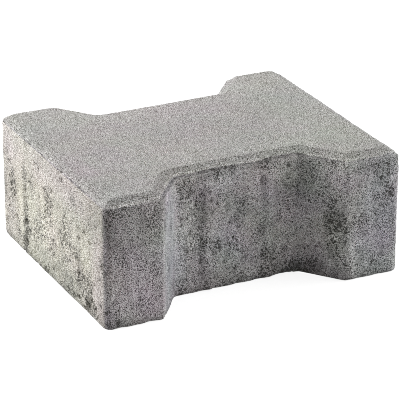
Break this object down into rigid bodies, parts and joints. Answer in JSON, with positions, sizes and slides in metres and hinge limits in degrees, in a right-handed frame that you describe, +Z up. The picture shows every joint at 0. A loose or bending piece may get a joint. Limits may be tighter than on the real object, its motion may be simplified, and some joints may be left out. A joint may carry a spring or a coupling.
{
  "type": "double-T interlocking concrete paving stone",
  "caption": "Grey concrete paving stone, double-T shaped in plan: wide heads, sloped shoulders and a narrower waist with spacer nibs, with a bevelled edge round its wearing face.",
  "frame": {"origin": "centre of the underside, which lies on the bedding", "axes": "+X along the stone from head to head, +Y across it, +Z up through the wearing face"},
  "size_m": [0.196, 0.163, 0.081],
  "materials": {
    "concrete": "pressed fine-grained grey concrete, matt and slightly porous"
  },
  "bodies": {
    "root": {"paving_stone": "concrete"}
  },
  "joints": []
}
